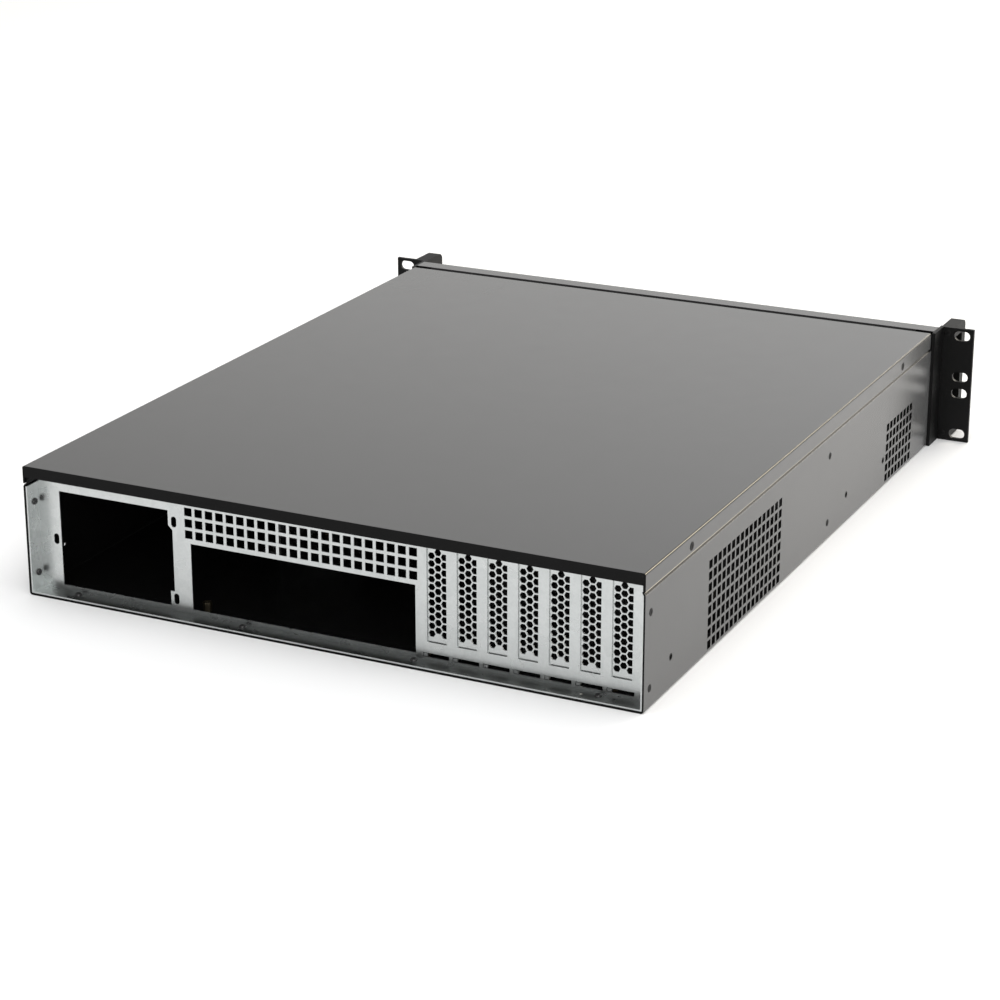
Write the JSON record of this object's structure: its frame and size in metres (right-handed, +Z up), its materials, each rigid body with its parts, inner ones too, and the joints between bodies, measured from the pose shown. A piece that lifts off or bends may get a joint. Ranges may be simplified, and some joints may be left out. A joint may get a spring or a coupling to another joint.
{
  "type": "rackmount server case",
  "caption": "Flat rack server case, empty: black folded body and lid, recessed galvanised rear panel with cut-outs and perforated slot covers, rack ears with handles.",
  "frame": {"origin": "middle of the underside of the whole case, handles included", "axes": "+Y towards the rear panel, +Z up, X across the case; the rack ears are at the -Y end"},
  "size_m": [0.4826, 0.59, 0.0881],
  "materials": {
    "black_steel": "satin black powder coat",
    "black_plate": "satin black powder coat",
    "galvanised_steel": "galvanised, faint spangle",
    "black_fastener": "black zinc",
    "bright_fastener": "bright zinc",
    "brass": "turned",
    "button_plastic": "fine texture",
    "lamp_green": "clear tinted",
    "lamp_amber": "clear tinted",
    "circuit_board": "lacquered"
  },
  "bodies": {
    "case": {"chassis_base": "black_steel", "top_cover": "black_steel", "front_panel": "black_steel", "ear_left": "black_plate", "ear_right": "black_plate", "handle_left": "black_plate", "handle_right": "black_plate", "rear_panel": "galvanised_steel", "fan_wall": "galvanised_steel", "power_supply_bracket": "galvanised_steel", "slot_cover_1": "galvanised_steel", "slot_cover_2": "galvanised_steel", "slot_cover_3": "galvanised_steel", "slot_cover_4": "galvanised_steel", "slot_cover_5": "galvanised_steel", "slot_cover_6": "galvanised_steel", "slot_cover_7": "galvanised_steel", "rear_panel_screws": "black_fastener", "slot_cover_screws": "bright_fastener", "standoffs": "brass", "power_lamp": "lamp_green", "disk_lamp": "lamp_amber", "control_board": "circuit_board", "control_board_posts": "bright_fastener"},
    "power_button": {"power_button": "button_plastic"},
    "reset_button": {"reset_button": "button_plastic"}
  },
  "joints": [
    {"name": "power_press", "type": "slide", "parent": "case", "child": "power_button", "axis": [0, 1, 0], "range_m": [0, 0.0012], "stiffness_N_per_m": 400, "springref_m": -0.002},
    {"name": "reset_press", "type": "slide", "parent": "case", "child": "reset_button", "axis": [0, 1, 0], "range_m": [0, 0.0012], "stiffness_N_per_m": 400, "springref_m": -0.002}
  ]
}
